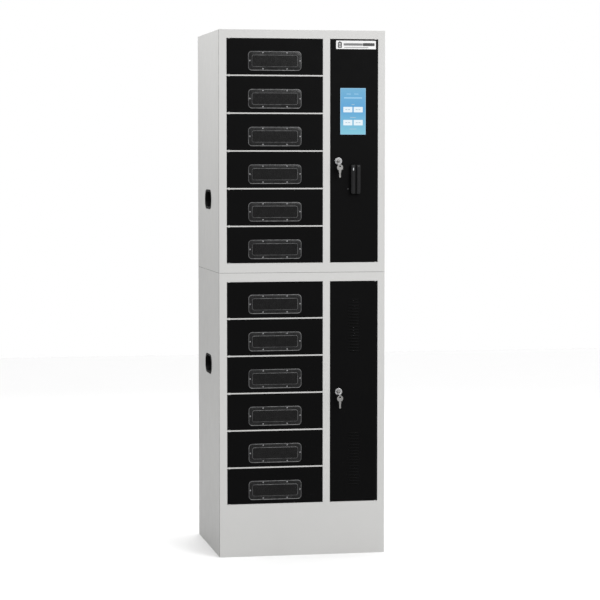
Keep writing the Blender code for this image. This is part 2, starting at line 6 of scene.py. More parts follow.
import bmesh
import bpy
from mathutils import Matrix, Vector


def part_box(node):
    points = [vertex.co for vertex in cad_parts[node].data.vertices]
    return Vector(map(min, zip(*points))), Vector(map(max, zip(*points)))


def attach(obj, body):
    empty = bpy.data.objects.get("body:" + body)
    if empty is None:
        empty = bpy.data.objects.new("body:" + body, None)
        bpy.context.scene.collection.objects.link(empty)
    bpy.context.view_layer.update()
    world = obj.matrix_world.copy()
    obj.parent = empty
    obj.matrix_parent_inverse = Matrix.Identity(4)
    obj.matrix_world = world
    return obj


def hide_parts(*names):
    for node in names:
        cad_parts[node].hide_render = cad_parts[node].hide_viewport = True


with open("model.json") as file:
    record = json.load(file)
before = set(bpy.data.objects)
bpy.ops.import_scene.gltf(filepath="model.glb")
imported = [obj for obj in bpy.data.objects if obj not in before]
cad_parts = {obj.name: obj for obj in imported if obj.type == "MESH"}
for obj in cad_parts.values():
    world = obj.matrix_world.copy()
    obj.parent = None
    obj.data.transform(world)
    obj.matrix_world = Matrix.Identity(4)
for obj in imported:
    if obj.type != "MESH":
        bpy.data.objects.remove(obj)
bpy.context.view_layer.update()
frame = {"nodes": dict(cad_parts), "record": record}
NODES = frame["nodes"]
BODY_OF = {
    node: body
    for body, members in frame["record"]["behaviour"]["bodies"].items()
    for node in members
}
BAY_NUMBERS = [f"{k:02d}" for k in range(1, 13)]
CABINETS = ("upper", "lower")
SIDES = (("left", -1), ("right", 1))
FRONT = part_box("upper_service_door")[0].y
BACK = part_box("upper_back_panel")[1].y
BAYS_IN_CABINET = 6
BAY_PITCH = 0.135
SHARP_EDGE = math.radians(30)

# Hinges: the axis from the door's edge and from its front, and how far past the end of the door
# each turned profile starts. A profile's points are (distance along the axis, radius).
PIN_INSET = 0.0065
PIN_DEPTH = 0.005
PIN_START = 0.0002
PIN_PROFILE = ((0, 0.0024), (0.0003, 0.0027), (0.0046, 0.0027), (0.0048, 0.0024))
WASHER_START = 0.0022
WASHER_PROFILE = ((0, 0.0036), (0.0003, 0.0042), (0.0014, 0.0042), (0.0017, 0.0036))

# Soft light from all round, brighter above and to the right, and three large lamps
SKY_LEVEL = 0.55
SKY_LEAN = (0.60, -0.05, 0.85)
SKY_LOWEST = 0.03
LIGHTS = (  # name, place, target, size, power
    ("key", (1.6, -3.4, 2.9), (0, -0.26, 0.8), 1.8, 61),
    ("top_left", (-1.7, -0.1, 2.6), (-0.3, 0, 1.9), 0.9, 23),
    ("back", (0.5, 3.6, 3.2), (0, 0, 1.0), 2.2, 40),
)


# ---------------------------------------------------------------- materials


class Surface:
    """A node material under construction: a Principled shader and the nodes that feed it."""

    def __init__(self, name, colour, roughness, metallic=0.0):
        self.material = bpy.data.materials.new(name)
        self.material.use_nodes = True
        self.nodes = self.material.node_tree.nodes
        self.links = self.material.node_tree.links
        self.shader = self.nodes["Principled BSDF"]
        self.set("Base Color", (*colour, 1.0))
        self.set("Roughness", roughness)
        self.set("Metallic", metallic)
        self.place = self.nodes.new("ShaderNodeTexCoord").outputs["Object"]
        self.normal = None

    def set(self, socket, value):
        self.shader.inputs[socket].default_value = value

    def noise(self, scale, detail=2.0, stretch=(1, 1, 1)):
        """Noise in object space, scale in cells per metre."""
        mapping = self.nodes.new("ShaderNodeMapping")
        mapping.inputs["Scale"].default_value = stretch
        self.links.new(self.place, mapping.inputs["Vector"])
        node = self.nodes.new("ShaderNodeTexNoise")
        node.inputs["Scale"].default_value = scale
        node.inputs["Detail"].default_value = detail
        self.links.new(mapping.outputs[0], node.inputs["Vector"])
        return node.outputs["Fac"]

    def spread(self, value, low, high, low_in=0.3, high_in=0.7):
        """A value mapped to a range."""
        node = self.nodes.new("ShaderNodeMapRange")
        limits = {"From Min": low_in, "From Max": high_in, "To Min": low, "To Max": high}
        for socket, number in limits.items():
            node.inputs[socket].default_value = number
        self.links.new(value, node.inputs["Value"])
        return node.outputs[0]

    def bump(self, height, distance, strength=1.0):
        """Adds a layer of bump over those already there."""
        node = self.nodes.new("ShaderNodeBump")
        node.inputs["Distance"].default_value = distance
        node.inputs["Strength"].default_value = strength
        self.links.new(height, node.inputs["Height"])
        if self.normal is not None:
            self.links.new(self.normal, node.inputs["Normal"])
        self.normal = node.outputs[0]
        self.links.new(self.normal, self.shader.inputs["Normal"])

    def colours(self, factor, first, second):
        """Base colour between two colours."""
        mix = self.nodes.new("ShaderNodeMix")
        mix.data_type = "RGBA"
        mix.inputs["A"].default_value = (*first, 1.0)
        mix.inputs["B"].default_value = (*second, 1.0)
        self.links.new(factor, mix.inputs["Factor"])
        self.links.new(mix.outputs["Result"], self.shader.inputs["Base Color"])

    def roughness(self, factor):
        self.links.new(factor, self.shader.inputs["Roughness"])


def tinted(colour, factor):
    return tuple(channel * factor for channel in colour)


def powder_coat(name, colour, variation, peel, roughness, specular):
    """Baked powder paint: fine grain, a slight orange peel and faint handling marks."""
    surface = Surface(name, colour, roughness[0])
    cloud = surface.spread(surface.noise(3.5, 4.0), 0, 1)
    surface.colours(cloud, tinted(colour, 1 - variation), tinted(colour, 1 + variation))
    surface.roughness(surface.spread(surface.noise(22, 5.0), *roughness))
    surface.bump(surface.noise(240, 2.0), 0.0001 * peel, 0.35)
    surface.bump(surface.noise(1500, 1.0), 0.00006 * peel, 0.5)
    surface.set("Specular IOR Level", specular)
    return surface.material


def galvanised():
    """Zinc-coated sheet with a faint spangle."""
    surface = Surface("galvanised_sheet", (0.5, 0.51, 0.52), 0.4, 0.85)
    spangle = surface.nodes.new("ShaderNodeTexVoronoi")
    spangle.inputs["Scale"].default_value = 90
    surface.links.new(surface.place, spangle.inputs["Vector"])
    shade = surface.spread(spangle.outputs["Distance"], 0, 1, 0.0, 0.8)
    surface.colours(shade, (0.42, 0.43, 0.44), (0.58, 0.59, 0.6))
    surface.roughness(surface.spread(surface.noise(60, 3.0), 0.3, 0.5))
    surface.bump(surface.noise(500, 2.0), 0.00004, 0.5)
    return surface.material


def moulded_plastic(name, colour, roughness, specular=0.5):
    """Injection-moulded plastic with a fine spark-eroded grain."""
    surface = Surface(name, colour, roughness)
    cloud = surface.spread(surface.noise(40, 3.0), 0, 1)
    surface.colours(cloud, tinted(colour, 0.85), tinted(colour, 1.15))
    surface.roughness(surface.spread(surface.noise(160, 3.0), roughness - 0.06, roughness + 0.08))
    surface.bump(surface.noise(1100, 3.0), 0.00008, 0.5)
    surface.set("Specular IOR Level", specular)
    return surface.material


def plated(name, colour, roughness):
    """Plated metal with fine scratches and slightly uneven polish."""
    surface = Surface(name, colour, roughness, 1.0)
    scratch = surface.noise(700, 3.0, (1, 1, 0.08))
    surface.roughness(surface.spread(scratch, roughness - 0.05, roughness + 0.1))
    surface.colours(surface.spread(surface.noise(120, 2.0), 0, 1), tinted(colour, 0.88), colour)
    surface.bump(scratch, 0.00002, 0.4)
    return surface.material


def smoked_sheet(name, dark, light):
    """Dark clear sheet with a light haze of fine scratches."""
    surface = Surface(name, light, 0.2)
    surface.colours(surface.spread(surface.noise(55, 5.0), 0, 1, 0.35, 0.65), dark, light)
    surface.roughness(surface.spread(surface.noise(420, 4.0, (1, 1, 0.2)), 0.16, 0.34))
    surface.bump(surface.noise(18, 2.0), 0.0003, 0.2)
    surface.set("Transmission Weight", 0.25)
    surface.set("IOR", 1.49)
    surface.set("Specular IOR Level", 0.12)
    return surface.material


def painted_edge_light(name, dark, light):
    """Polished edge of the clear sheet, given a lighter colour than its face: a painted highlight
    for the light the edge catches.
    """
    surface = Surface(name, light, 0.25)
    surface.colours(surface.spread(surface.noise(60, 3.0), 0, 1), dark, light)
    surface.roughness(surface.spread(surface.noise(600, 2.0), 0.2, 0.4))
    surface.set("Specular IOR Level", 0.25)
    return surface.material


def lit_picture():
    """Display showing a soft blue gradient, paler towards its lower edge."""
    surface = Surface("display_blue", (0.01, 0.01, 0.012), 0.18)
    low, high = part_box("touchscreen")
    split = surface.nodes.new("ShaderNodeSeparateXYZ")
    surface.links.new(surface.place, split.inputs[0])
    rise = surface.spread(split.outputs["Z"], 0, 1, low.z, high.z)
    ramp = surface.nodes.new("ShaderNodeValToRGB")
    stops = ramp.color_ramp.elements
    stops[0].color = (0.23, 0.59, 0.71, 1)
    stops[1].color = (0.16, 0.44, 0.66, 1)
    middle = stops.new(0.55)
    middle.color = (0.095, 0.37, 0.68, 1)
    surface.links.new(rise, ramp.inputs[0])
    surface.links.new(ramp.outputs[0], surface.shader.inputs["Emission Color"])
    surface.set("Emission Strength", 0.95)
    surface.roughness(surface.spread(surface.noise(300, 2.0), 0.1, 0.2))
    return surface.material


def lit_shape(name, colour, strength=0.95):
    """A part of the display's picture."""
    surface = Surface(name, (0.02, 0.02, 0.02), 0.18)
    surface.set("Emission Color", (*colour, 1.0))
    surface.set("Emission Strength", strength)
    surface.roughness(surface.spread(surface.noise(300, 2.0), 0.1, 0.2))
    return surface.material


def printed(name, colour):
    """Printed film, slightly glossy."""
    surface = Surface(name, colour, 0.35)
    surface.colours(surface.spread(surface.noise(70, 3.0), 0, 1), tinted(colour, 0.95), colour)
    surface.roughness(surface.spread(surface.noise(260, 3.0), 0.28, 0.42))
    surface.bump(surface.noise(900, 2.0), 0.00003, 0.4)
    return surface.material


GREY = (0.575, 0.573, 0.563)
BLACK = (0.0022, 0.0022, 0.0023)
MATERIALS = {
    "grey": powder_coat("grey_powder_coat", GREY, 0.012, 0.8, (0.36, 0.46), 0.35),
    "black": powder_coat("black_powder_coat", BLACK, 0.12, 1.4, (0.42, 0.54), 0.05),
    "steel": galvanised(),
    "plastic": moulded_plastic("black_plastic", (0.014, 0.014, 0.015), 0.42),
    "reader": moulded_plastic("reader_plastic", (0.0065, 0.0065, 0.007), 0.36, 0.2),
    # Near-black plastic, also used as painted shade in vent slots and in the groove between the
    # cabinets
    "dark": moulded_plastic("dark_plastic_and_painted_shade", (0.004, 0.004, 0.004), 0.7),
    "cup": moulded_plastic("handle_plastic", BLACK, 0.5, 0.06),
    "chrome": plated("chrome_plate", (0.66, 0.66, 0.67), 0.12),
    "nickel": plated("nickel_plate", (0.38, 0.375, 0.365), 0.24),
    "zinc": plated("zinc_plate", (0.5, 0.5, 0.5), 0.34),
    "rivet": plated("rivet_metal", (0.24, 0.24, 0.245), 0.38),
    # Paler plastic used as a painted highlight on the top of the card reader
    "painted_highlight": moulded_plastic("painted_highlight_plastic", (0.075, 0.075, 0.077), 0.35),
    "lamp_lens": moulded_plastic("lamp_lens", (0.045, 0.045, 0.047), 0.3),
    "nylon": moulded_plastic("pale_nylon", (0.72, 0.72, 0.71), 0.45),
    # Dark colour used as painted shade along the side joints
    "seam_shade": moulded_plastic("seam_painted_shade", (0.10, 0.10, 0.098), 0.6),
    "sheet": smoked_sheet("smoked_sheet", (0.003, 0.0029, 0.003), (0.0068, 0.0066, 0.0068)),
    "flange": smoked_sheet("smoked_flange", (0.008, 0.008, 0.0083), (0.018, 0.018, 0.0185)),
    # Window edge colours below are painted highlight, lighter than the sheet so its edges look lit
    "edge": painted_edge_light("sheet_edge_painted_highlight", (0.05, 0.05, 0.052), (0.15, 0.15, 0.152)),
    # Brighter still: a painted glint on the lower edge of each window
    "lit_edge": painted_edge_light("sheet_lower_edge_painted_glint", (0.13, 0.13, 0.132), (0.27, 0.27, 0.272)),
    "picture": lit_picture(),
    "key_light": lit_shape("display_white", (0.80, 0.90, 0.96)),
    "key_mark": lit_shape("display_grey", (0.40, 0.56, 0.68)),
    "header": lit_shape("display_pale", (0.33, 0.62, 0.86)),
    "lamp": lit_shape("lamp_white", (0.9, 0.93, 0.95), 0.7),
    "label": printed("white_film", (0.78, 0.78, 0.78)),
    "ink": printed("black_ink", (0.012, 0.012, 0.013)),
    "pale_ink": printed("grey_ink", (0.16, 0.16, 0.165)),
}


# ---------------------------------------------------------------- shapes


def outline(centre, size, radius, steps=6):
    """Points of a rectangle with rounded corners, in its own plane."""
    points = []
    reach = (size[0] / 2 - radius, size[1] / 2 - radius)
    for corner, (side, rise) in enumerate(((1, 1), (-1, 1), (-1, -1), (1, -1))):
        x, y = centre[0] + side * reach[0], centre[1] + rise * reach[1]
        for k in range(steps + 1):
            turn = math.pi / 2 * (corner + k / steps)
            points.append((x + radius * math.cos(turn), y + radius * math.sin(turn)))
    return points


def loop_of(bm, points, axis, level):
    """Vertices of an outline in the plane across an axis."""
    across = [k for k in range(3) if k != axis]
    made = []
    for point in points:
        spot = Vector()
        spot[axis] = level
        spot[across[0]], spot[across[1]] = point
        made.append(bm.verts.new(spot))
    return made


def skin(bm, loops, cap=True):
    """Quads between loops of equal length, with both ends capped."""
    made = []
    for first, second in zip(loops, loops[1:]):
        for k in range(len(first)):
            made.append(bm.faces.new((first[k - 1], first[k], second[k], second[k - 1])))
    if cap:
        made.append(bm.faces.new(loops[0]))
        made.append(bm.faces.new(loops[-1]))
    return made


def slab(bm, points, axis, low, high):
    skin(bm, [loop_of(bm, points, axis, level) for level in (low, high)])


def rim(bm, outer, inner, axis, low, high):
    """A closed frame between two outlines of equal length."""
    loops = [loop_of(bm, outer, axis, low), loop_of(bm, outer, axis, high)]
    loops += [loop_of(bm, inner, axis, high), loop_of(bm, inner, axis, low)]
    skin(bm, [*loops, loops[0]], cap=False)


def lathe(bm, centre, direction, profile, steps=24):
    """A turned solid: profile points are (distance along the direction, radius)."""
    along = Vector(direction).normalized()
    side = along.orthogonal().normalized()
    up = along.cross(side)
    loops = []
    for reach, radius in profile:
        loop = []
        for k in range(steps):
            turn = 2 * math.pi * k / steps
            spot = Vector(centre) + along * reach
            loop.append(bm.verts.new(spot + (side * math.cos(turn) + up * math.sin(turn)) * radius))
        loops.append(loop)
    skin(bm, loops)


def block(bm, low, high):
    """A closed axis-aligned block."""
    corners = [(low[0], low[1]), (high[0], low[1]), (high[0], high[1]), (low[0], high[1])]
    slab(bm, corners, 2, low[2], high[2])


def bevelled(thing, width, segments):
    """Rounds the sharp edges of an object with a modifier."""
    modifier = thing.modifiers.new("edges", "BEVEL")
    modifier.width = width
    modifier.segments = segments
    modifier.limit_method = "ANGLE"
    modifier.angle_limit = SHARP_EDGE
    modifier.harden_normals = True


def finished(name, bm, material, body, bevel=0.0, segments=2, replaced=(), smooth=40):
    """Makes the piece from its mesh code, paints it and lets it ride on its body."""
    bmesh.ops.recalc_face_normals(bm, faces=bm.faces)
    mesh = bpy.data.meshes.new(name)
    bm.to_mesh(mesh)
    bm.free()
    mesh.shade_smooth()
    mesh.set_sharp_from_angle(angle=math.radians(smooth))
    thing = bpy.data.objects.new(name, mesh)
    bpy.context.scene.collection.objects.link(thing)
    mesh.materials.append(MATERIALS[material])
    if bevel:
        bevelled(thing, bevel, segments)
    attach(thing, body)
    if replaced:
        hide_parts(*replaced)
    return thing


def softened(node, material, bevel, segments=2):
    """The CAD node's own shape with its edges rounded, standing for the node."""
    bm = bmesh.new()
    bm.from_mesh(NODES[node].data)
    bmesh.ops.remove_doubles(bm, verts=bm.verts, dist=1e-6)
    bmesh.ops.dissolve_limit(bm, angle_limit=0.01, verts=bm.verts, edges=bm.edges)
    return finished(node + "_skin", bm, material, BODY_OF[node], bevel, segments, [node])


# ---------------------------------------------------------------- cabinets


def paint(node, material):
    """Gives a CAD node that stays its material."""
    mesh = NODES[node].data
    mesh.materials.clear()
    mesh.materials.append(MATERIALS[material])


def cabinet_shells():
    """Sheets and strips with softened edges, and the galvanised parts inside."""
    for cabinet in CABINETS:
        softened(cabinet + "_front_frame", "grey", 0.0006)
        for sheet in ("_left_side", "_right_side", "_back_panel"):
            softened(cabinet + sheet, "grey", 0.0004)
        softened(cabinet + "_latch_strip", "plastic", 0.0005)
        softened(cabinet + "_outlet_strip", "plastic", 0.0006)
        paint(cabinet + "_bay_rack", "steel")
    softened("upper_top_panel", "grey", 0.0004)
    paint("base_pan", "steel")
    softened("controller_box", "plastic", 0.0015)
    # Each side joint gets a dark strip of painted shade
    for cabinet in CABINETS:
        side_seam_shades(cabinet)
    # The groove between the cabinets gets a dark strip of painted shade
    cabinet_groove_shade()


def side_seam_shades(cabinet):
    """Dark strip along the joint between the front's return and each side sheet: painted shade at
    the joint.
    """
    proud, sunk, width = 0.00008, 0.0006, 0.0048
    for word, side in SIDES:
        low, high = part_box(f"{cabinet}_{word}_side")
        outer = low.x if side < 0 else high.x
        first, last = sorted((outer + side * proud, outer - side * sunk))
        bm = bmesh.new()
        block(bm, (first, low.y - 0.0003, low.z + 0.001), (last, low.y + width, high.z - 0.001))
        finished(f"{cabinet}_{word}_seam", bm, "seam_shade", "cabinet")


def cabinet_groove_shade():
    """Dark strip in the groove between the two cabinets: painted shade that darkens the groove."""
    low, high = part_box("upper_front_frame")
    centre = (0.0, (BACK + low.y) / 2)
    edges = []
    for less in (0.0008, 0.0028):
        size = (high.x - low.x - less, BACK - low.y - less)
        edges.append(outline(centre, size, 0.0005, 2))
    bm = bmesh.new()
    rim(bm, *edges, 2, low.z - 0.00095, low.z - 0.00005)
    finished("cabinet_groove_shade", bm, "dark", "cabinet")


def screw_head(bm, spot, direction, radius=0.0036, height=0.0018):
    """Domed screw head with a sunk socket."""
    profile = (
        (0, radius),
        (height * 0.45, radius),
        (height * 0.85, radius * 0.8),
        (height, radius * 0.52),
        (height * 0.35, radius * 0.45),
    )
    lathe(bm, spot, direction, profile, 18)


def back_details():
    """Screws round the back sheets and two groups of pressed vents in each."""
    rows = 5
    edge = 0.02
    for cabinet in CABINETS:
        low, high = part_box(cabinet + "_back_panel")
        screws = bmesh.new()
        for k in range(rows):
            z = low.z + edge + (high.z - low.z - 2 * edge) * k / (rows - 1)
            for x in (low.x + 0.012, high.x - 0.012):
                screw_head(screws, (x, high.y, z), (0, 1, 0))
        for x in (-0.1, 0.1):
            for z in (low.z + edge, high.z - edge):
                screw_head(screws, (x, high.y, z), (0, 1, 0))
        finished(cabinet + "_back_screws", screws, "zinc", "cabinet")
        vents, slot_shade = bmesh.new(), bmesh.new()
        for x in (-0.145, 0.145):
            for k in range(9):
                z = high.z - 0.14 - 0.016 * k
                louvre(vents, x, high.y, z, 0.13, 0.0035, 1)
                far = (x + 0.06, high.y + 0.0004, z - 0.0008)
                # Dark block under each hood: painted shade standing for the open vent slot
                block(slot_shade, (x - 0.06, high.y, z - 0.0042), far)
        finished(cabinet + "_back_vents", vents, "grey", "cabinet")
        finished(cabinet + "_back_vent_slot_shade", slot_shade, "dark", "cabinet")


def louvre(bm, x, y, z, width, depth, outward):
    """A pressed hood over a vent slot: a quarter-round lip that opens downwards."""
    height, wall, lip, root = 0.004, 0.0007, 0.0005, 0.0001
    steps, stations = 6, 5
    loops = []
    for j in range(stations + 1):
        share = j / stations
        fade = math.sin(math.pi * share) ** 0.35 if 0 < share < 1 else 0.0
        outside, inside = [], []
        for k in range(steps + 1):
            turn = math.pi / 2 * k / steps
            reach, rise = depth * fade * math.sin(turn), height * math.cos(turn)
            outside.append((reach + root, rise))
            inside.append((max(reach - wall, 0.0), rise - lip))
        across = x + width * (share - 0.5)
        section = outside + inside[::-1]
        loops.append([bm.verts.new((across, y + outward * r, z + h)) for r, h in section])
    skin(bm, loops)


def carrying_handles():
    """Moulded cups with a rolled rim and a finger ledge."""
    for cabinet in CABINETS:
        for word, side in SIDES:
            node = f"{cabinet}_{word}_handle"
            low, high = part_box(node)
            centre = ((low.y + high.y) / 2, (low.z + high.z) / 2)
            outer, inner = (low.x, high.x) if side < 0 else (high.x, low.x)
            face = outer - side * 0.0017
            rings = (  # less than the rim's size, corner radius, level
                (0.0, 0.032, face),
                (0.0, 0.032, outer - side * 0.0008),
                (0.002, 0.031, outer),
                (0.011, 0.0265, outer),
                (0.0145, 0.0248, outer - side * 0.0016),
                (0.0155, 0.0243, outer - side * 0.012),
                (0.021, 0.0215, inner + side * 0.0022),
                (0.021, 0.0215, inner + side * 0.0021),
                (0.0115, 0.0262, face),
                (0.0115, 0.0262, inner),
            )
            bm = bmesh.new()
            loops = []
            for less, radius, level in rings:
                size = (high.y - low.y - less, high.z - low.z - less)
                loops.append(loop_of(bm, outline(centre, size, radius), 0, level))
            inside, behind = loops[:8], loops[8:]
            skin(bm, inside, cap=False)
            bm.faces.new(inside[-1])
            skin(bm, [inside[0], *behind], cap=False)
            bm.faces.new(behind[-1])
            finished(node + "_skin", bm, "cup", "cabinet", replaced=[node], smooth=50)


# ---------------------------------------------------------------- bay doors


def bay_door_pieces(number):
    body = "bay_door_" + number
    low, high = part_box(body)
    softened(body, "black", 0.0005)
    window_pane(number, body)
    names = (f"hinge_pins_{number}", f"hinge_washers_{number}")
    hinge(names, low.x + PIN_INSET, (low.z, high.z), body)


def hinge(names, x, ends, body):
    """A door's pins, and the pale washers on them in the gaps above and below it."""
    pins, washers = bmesh.new(), bmesh.new()
    spot = (x, FRONT + PIN_DEPTH)
    for end, inward in zip(ends, (1, -1)):
        lathe(pins, (*spot, end + inward * PIN_START), (0, 0, inward), PIN_PROFILE)
        lathe(washers, (*spot, end + inward * WASHER_START), (0, 0, inward), WASHER_PROFILE, 20)
    finished(names[0], pins, "zinc", body)
    finished(names[1], washers, "nylon", body)


def window_pane(number, body):
    """Clear plate with a raised middle field, held by six rivets."""
    low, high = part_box("bay_window_" + number)
    centre = ((low.x + high.x) / 2, (low.z + high.z) / 2)
    ledge = low.y + 0.0007
    levels = (  # less than the plate's size, corner radius, level
        (0.0, 0.013, high.y),
        (0.0, 0.013, ledge + 0.0008),
        (0.0044, 0.0108, ledge),
        (0.0266, 0.0074, ledge),
        (0.0294, 0.0060, low.y),
    )
    bm = bmesh.new()
    loops = []
    for less, radius, level in levels:
        size = (high.x - low.x - less, high.z - low.z - less)
        loops.append(loop_of(bm, outline(centre, size, radius), 1, level))
    faces = skin(bm, loops)
    count = len(loops[0])
    edge, flange, lit_edge = 1, 2, 3
    # The sloping and stepped bands get a lighter colour, a painted highlight along the sheet's edges
    for band, material in ((1, edge), (2, flange), (3, edge)):
        for face in faces[band * count:(band + 1) * count]:
            face.material_index = material
    # Slope faces along the lower edge take the brighter colour, a painted glint where the edge
    # reflects a lamp
    for face in faces[count:2 * count]:
        if face.calc_center_median().z < low.z + 0.003:
            face.material_index = lit_edge
    replaced = ["bay_window_" + number]
    pane = finished(f"window_pane_{number}", bm, "sheet", body, replaced=replaced, smooth=25)
    for material in ("edge", "flange", "lit_edge"):
        pane.data.materials.append(MATERIALS[material])

    rivets = bmesh.new()
    reach, inset = 0.044, 0.0055
    spots = [(centre[0] + side * reach, high.z - 0.006) for side in (-1, 1)]
    spots += [(centre[0] + side * reach, low.z + inset) for side in (-1, 1)]
    spots += [(low.x + inset, centre[1]), (high.x - inset, centre[1])]
    profile = [(-0.0006, 0.0029), (0.0002, 0.0029), (0.0009, 0.0022), (0.0012, 0.001)]
    for x, z in spots:
        lathe(rivets, (x, ledge, z), (0, -1, 0), profile, 14)
    finished(f"window_rivets_{number}", rivets, "rivet", body)


# ---------------------------------------------------------------- service doors


def flat_shape(name, points, front, thickness, material, body):
    bm = bmesh.new()
    slab(bm, points, 1, front, front + thickness)
    finished(name, bm, material, body)


def bar(centre_x, centre_z, width, height, radius=None):
    """Outline of a plain rounded bar."""
    radius = min(width, height) * 0.3 if radius is None else radius
    return outline((centre_x, centre_z), (width, height), radius, 4)


def touchscreen_picture():
    """Lit picture with a heading, four blank keys and short marks, all plain shapes."""
    body = "upper_service_door"
    softened("touchscreen", "dark", 0.0002)
    low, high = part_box("touchscreen")
    middle_x, middle_z = (low.x + high.x) / 2, (low.z + high.z) / 2
    width, height, border = 0.0931, 0.1669, 0.0014
    face = FRONT - 0.0001
    raised = face - 0.00012
    edge = bar(middle_x, middle_z, width, height, 0.0008)
    flat_shape("display_picture", edge, face, 0.0003, "picture", body)

    keys, marks, heading = bmesh.new(), bmesh.new(), bmesh.new()
    for x in (-0.0190, 0.0192):
        for z in (0.0062, -0.0407):
            key = bar(middle_x + x, middle_z + z, 0.0334, 0.0196, 0.0012)
            slab(keys, key, 1, raised, face)
            for dash in (-0.0055, 0.0045):
                mark = bar(middle_x + x + dash, middle_z + z, 0.0075, 0.0028)
                slab(marks, mark, 1, raised - 0.0001, raised)
    for z, length in ((0.0242, 0.011), (-0.0222, 0.021), (-0.0638, 0.026)):
        slab(marks, bar(middle_x, middle_z + z, length, 0.0022), 1, raised, face)
    slab(heading, bar(middle_x, middle_z + 0.0482, 0.067, 0.0042), 1, raised, face)
    for x in (-0.016, 0.012):
        slab(heading, bar(middle_x + x, middle_z + 0.0622, 0.016, 0.0024), 1, raised, face)
    inner = bar(middle_x, middle_z, width - 2 * border, height - 2 * border, 0.0006)
    rim(heading, edge, inner, 1, raised, face)
    finished("display_keys", keys, "key_light", body)
    finished("display_marks", marks, "key_mark", body)
    finished("display_heading", heading, "header", body)


def name_strip():
    """White strip with a plain battery sign and blank bars where a name would be."""
    body = "upper_service_door"
    low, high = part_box(body)
    left, right, middle = low.x + 0.0200, high.x - 0.0068, 1.8485
    front = FRONT - 0.0006
    face = front - 0.0001
    film = outline(((left + right) / 2, middle), (right - left, 0.0300), 0.0006, 3)
    flat_shape("name_strip", film, front, 0.0005, "label", body)

    ink, pale, cells = bmesh.new(), bmesh.new(), bmesh.new()
    sign = left + 0.0135
    slab(ink, outline((sign, middle - 0.0008), (0.0150, 0.0205), 0.003, 4), 1, face, front)
    slab(ink, outline((sign, middle + 0.0106), (0.0060, 0.0024), 0.0008, 3), 1, face, front)
    slab(ink, bar(right - 0.0265, middle + 0.0015, 0.043, 0.0105, 0.0015), 1, face, front)
    slab(pale, bar(left + 0.0625, middle + 0.0015, 0.070, 0.0085, 0.0015), 1, face, front)
    slab(pale, bar(left + 0.074, middle - 0.0095, 0.088, 0.0022, 0.0008), 1, face, front)
    for k in range(3):
        cell = bar(sign, middle - 0.0064 + 0.0056 * k, 0.0084, 0.0022)
        slab(cells, cell, 1, face - 0.0001, face)
    finished("name_strip_print", ink, "ink", body)
    finished("name_strip_grey", pale, "pale_ink", body)
    finished("name_strip_cells", cells, "label", body)


def card_reader():
    """Swipe reader: moulded body with two long ribs beside its slot, paler strips across their tops
    as a painted highlight, and a lamp.
    """
    body = "upper_service_door"
    low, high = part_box("card_reader")
    softened("card_reader", "reader", 0.0012, 3)
    middle = (low.x + high.x) / 2
    rib = 0.0094
    ribs, painted_highlight, lamp, dot = bmesh.new(), bmesh.new(), bmesh.new(), bmesh.new()
    for x in (middle - rib, middle + rib):
        size = (0.0078, high.z - low.z - 0.010)
        points = outline((x, (low.z + high.z) / 2), size, 0.0034)
        slab(ribs, points, 1, low.y - 0.0012, low.y + 0.0008)
        # Paler strip across the top of each rib: a painted highlight where the top bevel catches the
        # light
        strip = bar(x, high.z - 0.0042, 0.0070, 0.0018, 0.0008)
        slab(painted_highlight, strip, 1, low.y - 0.0016, low.y - 0.001)
    lens = outline((middle - rib, high.z - 0.0155), (0.0032, 0.0095), 0.0015)
    slab(lamp, lens, 1, low.y - 0.0018, low.y - 0.001)
    profile = [(-0.0005, 0.0024), (0.0006, 0.0024), (0.0013, 0.0016), (0.0015, 0.0006)]
    lathe(dot, (middle - 0.026, FRONT, low.z + 0.017), (0, -1, 0), profile)
    finished("reader_ribs", ribs, "reader", body, 0.0006)
    finished("reader_top_painted_highlight", painted_highlight, "painted_highlight", body, 0.0003)
    finished("reader_lamp", lamp, "lamp", body, 0.0003)
    finished("door_lamp", dot, "lamp_lens", body)


def service_doors():
    """The two tall doors with their hinges, and hoods on the vents of the lower one."""
    softened("upper_service_door", "black", 0.0005)
    softened("lower_service_door", "black", 0.0004)
    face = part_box("lower_service_door")[0].y
    hoods = bmesh.new()
    for start in (0.2535, 0.7415):
        for k in range(18):
            louvre(hoods, 0.190, face, start + 0.011 * k - 0.0008, 0.039, 0.0016, -1)
    finished("door_vent_hoods", hoods, "black", "lower_service_door")
    for cabinet in CABINETS:
        body = cabinet + "_service_door"
        low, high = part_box(body)
        names = (cabinet + "_service_pins", cabinet + "_service_washers")
        hinge(names, high.x - PIN_INSET, (low.z, high.z), body)


def locks():
    looks = (  # node, look, rounding, steps of the rounding
        ("_lock_housing", "chrome", 0.0007, 3),
        ("_lock_plug", "nickel", 0.0004, 2),
        ("_lock_cam", "zinc", 0.0004, 2),
        ("_spare_key", "nickel", 0.0004, 2),
        ("_key_ring", "chrome", 0.0, 2),
    )
    for cabinet in CABINETS:
        for node, look, bevel, segments in looks:
            softened(cabinet + node, look, bevel, segments)


# ---------------------------------------------------------------- power and latches


def power_details():
    """Contacts and rocker switch of the mains inlet."""
    low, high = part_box("power_inlet")
    softened("power_inlet", "plastic", 0.0006)
    middle = (low.x + high.x) / 2
    socket_z, rocker_z = 0.100, 0.1245
    pins = bmesh.new()
    for x, z in ((0, 0.0035), (-0.007, -0.0035), (0.007, -0.0035)):
        spot = Vector((middle + x, BACK - 0.0135, socket_z + z))
        far = (spot.x + 0.001, BACK - 0.002, spot.z + 0.002)
        block(pins, spot - Vector((0.001, 0, 0.002)), far)
    finished("inlet_pins", pins, "nickel", "cabinet", 0.0003)
    rocker = bmesh.new()
    points = outline((middle, rocker_z), (0.0195, 0.0125), 0.001, 3)
    slab(rocker, points, 1, high.y, high.y + 0.0016)
    finished("inlet_rocker", rocker, "dark", "cabinet", 0.0006)


